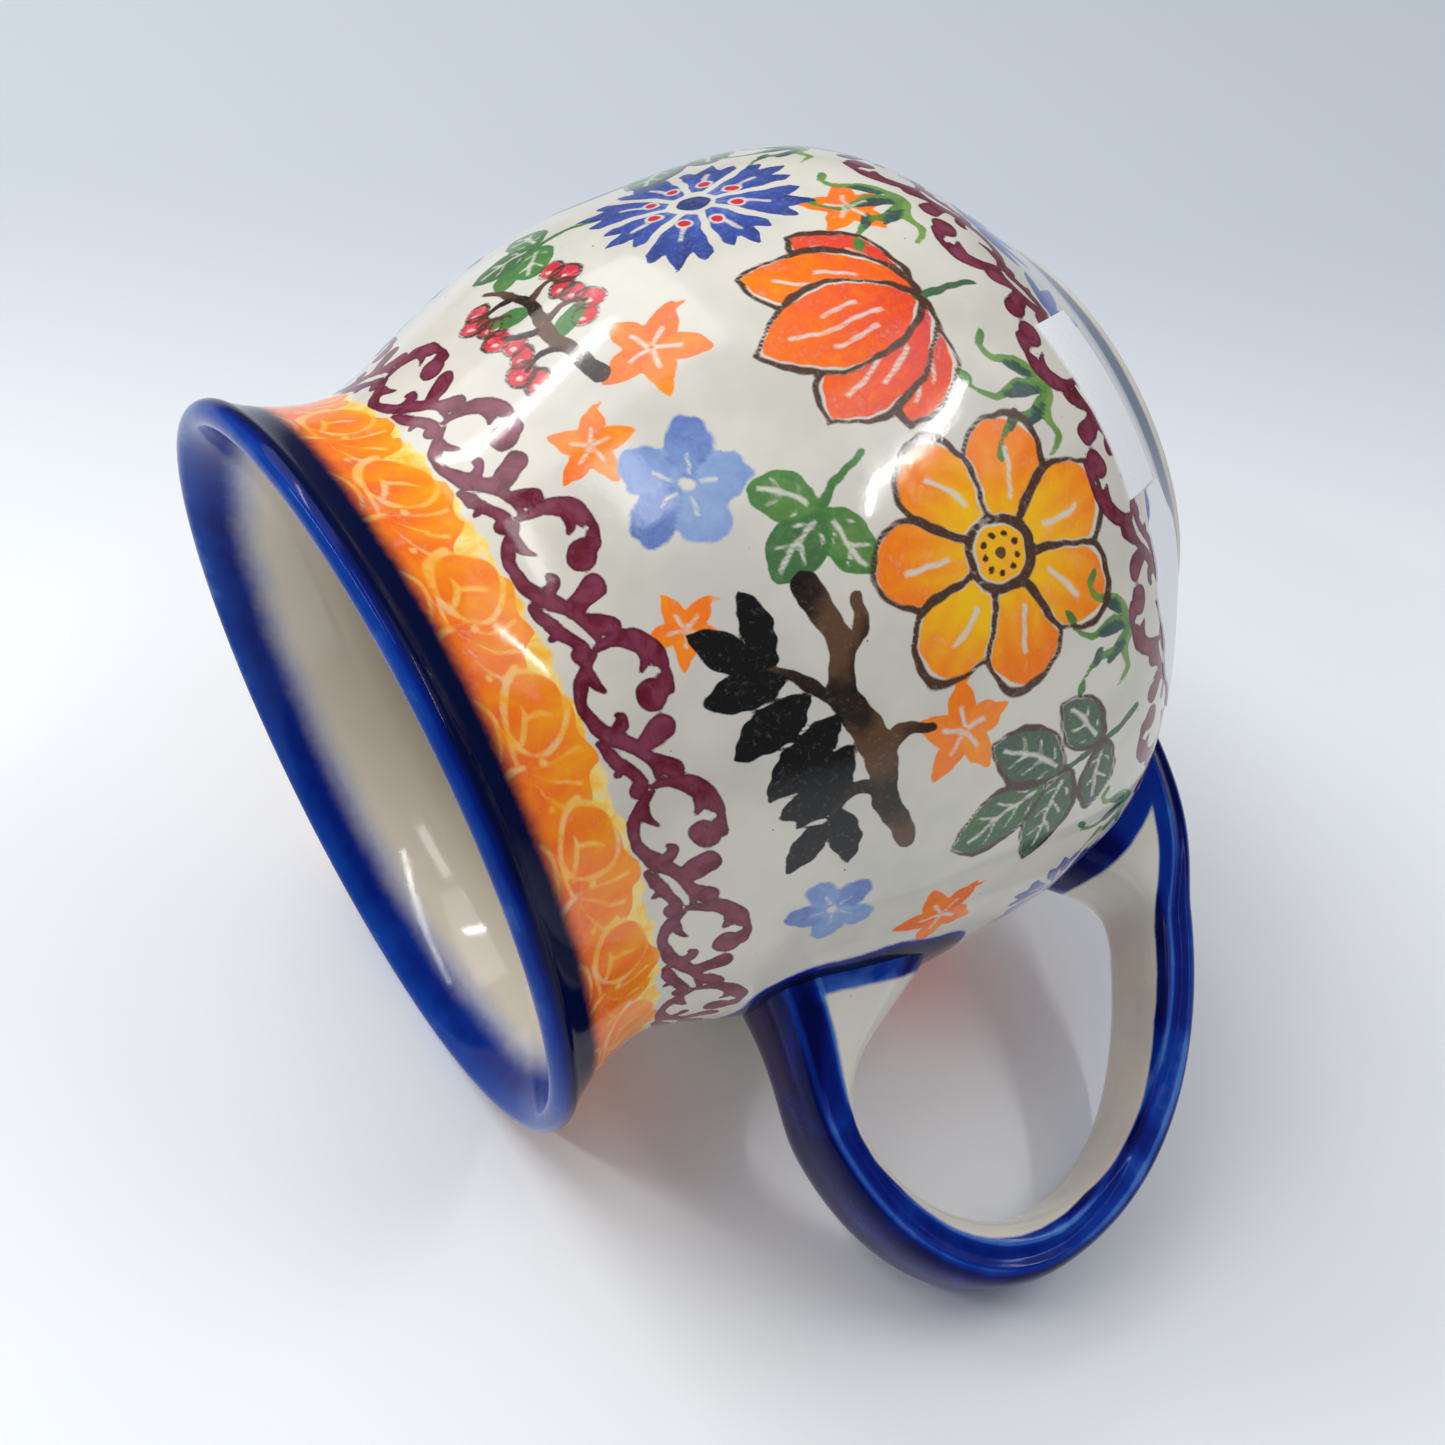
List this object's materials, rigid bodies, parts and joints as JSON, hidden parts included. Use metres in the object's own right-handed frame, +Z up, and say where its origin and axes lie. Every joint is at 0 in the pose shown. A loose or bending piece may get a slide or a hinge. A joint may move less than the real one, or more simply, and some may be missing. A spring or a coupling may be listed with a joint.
{
  "type": "stoneware mug",
  "caption": "Round-bellied glazed stoneware mug with a narrow neck, a flared rounded lip, a small foot ring and one strap handle.",
  "frame": {"origin": "centre of the foot on the plane that the mug stands on", "axes": "+Z up along the mug's axis to the mouth; the handle points to -X"},
  "size_m": [0.1426, 0.1038, 0.101],
  "materials": {
    "mug_body": "glossy clear glaze over a painted cream body",
    "handle": "glossy cobalt glaze, cream on the inner face",
    "upper_joint": "glossy cobalt glaze",
    "lower_joint": "glossy cobalt glaze",
    "price_label": "matt white paper",
    "oval_label": "matt white paper"
  },
  "bodies": {
    "root": {"mug_body": "mug_body", "handle": "handle", "upper_joint": "upper_joint", "lower_joint": "lower_joint", "price_label": "price_label", "oval_label": "oval_label"}
  },
  "joints": []
}
